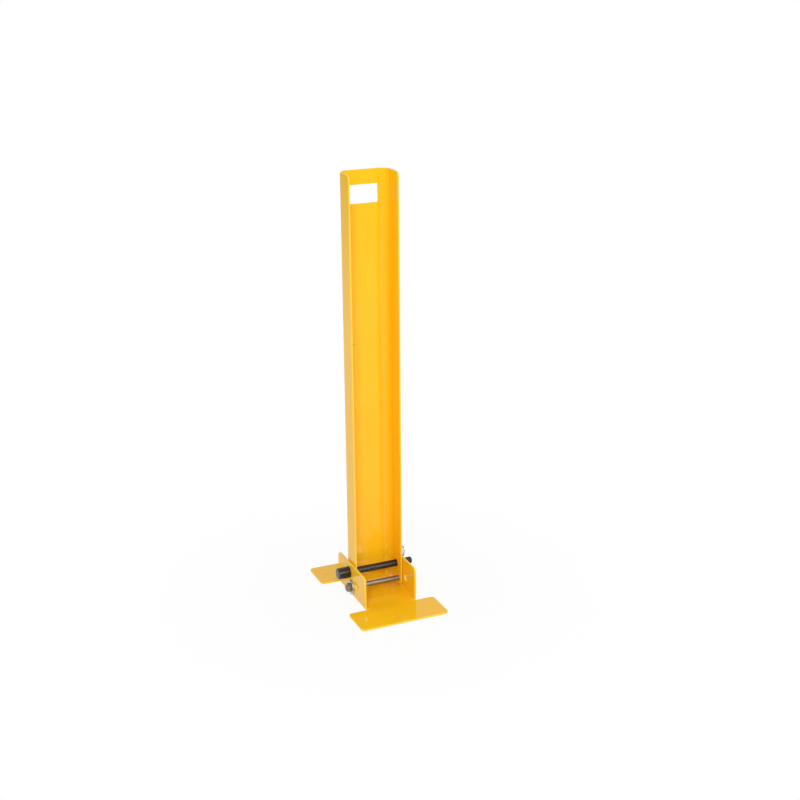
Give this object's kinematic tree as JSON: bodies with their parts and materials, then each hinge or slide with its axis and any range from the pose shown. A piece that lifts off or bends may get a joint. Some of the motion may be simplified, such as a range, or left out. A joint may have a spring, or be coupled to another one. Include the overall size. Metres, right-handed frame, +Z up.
{
  "type": "folding parking bollard",
  "caption": "Yellow folding parking bollard: open channel post hinged on a folded floor bracket, with a lock pin and clip through the bracket's ears.",
  "frame": {"origin": "on the ground at the middle of the base bracket", "axes": "+Z up along the standing post, +X to the right along the hinge bolt, +Y to the rear, so the channel opens towards -Y"},
  "size_m": [0.182, 0.292, 0.845],
  "materials": {
    "yellow_coat": "glossy yellow powder coat on folded sheet steel",
    "zinc_steel": "zinc plated fasteners",
    "black_steel": "blackened turned steel, satin",
    "spring_wire": "bright spring wire"
  },
  "bodies": {
    "base": {"base_bracket": "yellow_coat", "hinge_bolt": "zinc_steel", "hinge_nut": "zinc_steel", "nut_washer": "zinc_steel", "head_washer": "zinc_steel", "lock_pin": "black_steel", "retaining_clip": "spring_wire"},
    "post": {"post_channel": "yellow_coat"}
  },
  "joints": [
    {"name": "post_fold", "type": "hinge", "parent": "base", "child": "post", "pos_m": [0, 0, 0.021], "axis": [1, 0, 0], "range_deg": [0, 90]}
  ]
}
